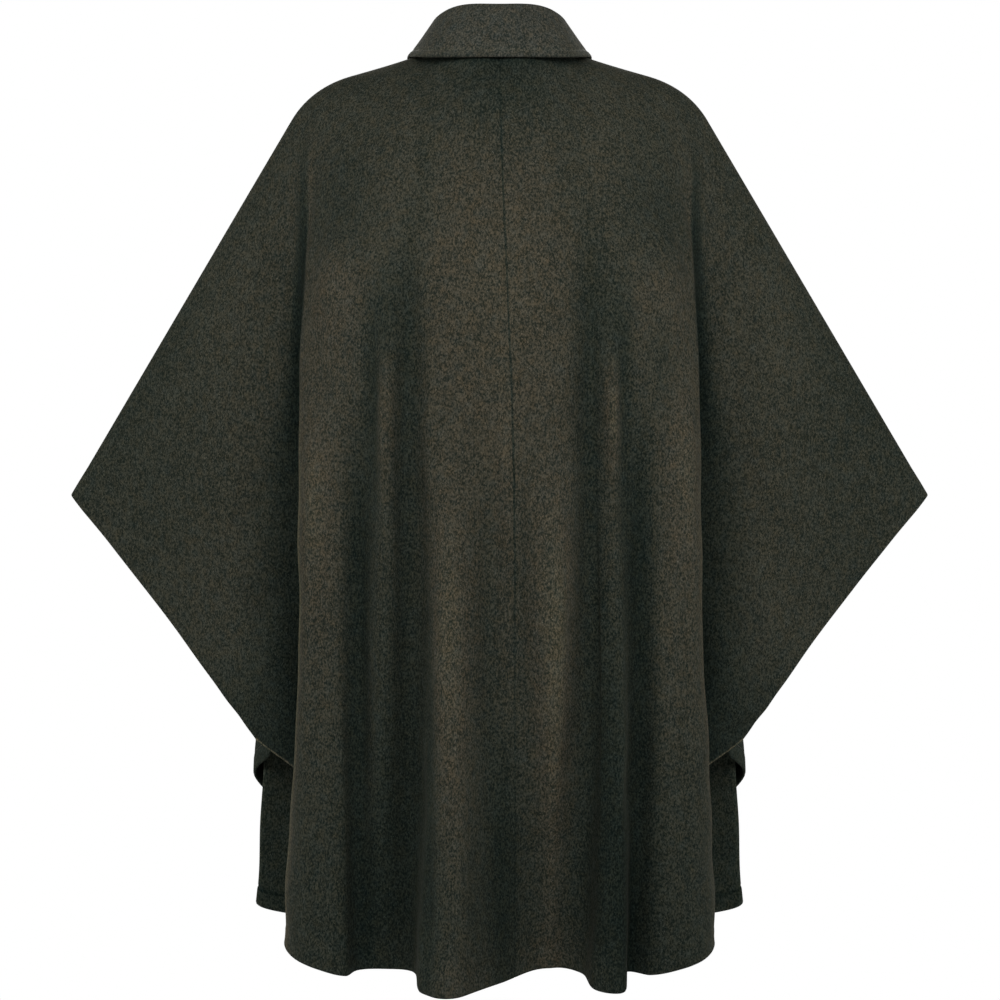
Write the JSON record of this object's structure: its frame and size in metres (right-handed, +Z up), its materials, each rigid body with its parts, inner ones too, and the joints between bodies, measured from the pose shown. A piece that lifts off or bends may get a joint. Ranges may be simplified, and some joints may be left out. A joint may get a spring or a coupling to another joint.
{
  "type": "cape",
  "caption": "Wool cape held in its worn shape, with wide winged sides, a turned-down collar, a centre back seam and a buttoned front.",
  "frame": {"origin": "middle of the wearer's neck, level with the neck points of the shoulder seams, where the cape hangs on the wearer", "axes": "+Z up, -Y the way the wearer faces, +X the wearer's left"},
  "size_m": [0.9386, 0.4022, 1.0028],
  "materials": {
    "loden": "brushed melange wool, matt",
    "button_horn": "dark horn, semi-gloss"
  },
  "bodies": {
    "root": {"back_left": "loden", "back_right": "loden", "front_left": "loden", "front_right": "loden", "collar_stand": "loden", "collar_fall": "loden", "button_1": "button_horn", "button_2": "button_horn", "button_3": "button_horn", "button_4": "button_horn", "button_5": "button_horn"}
  },
  "joints": []
}
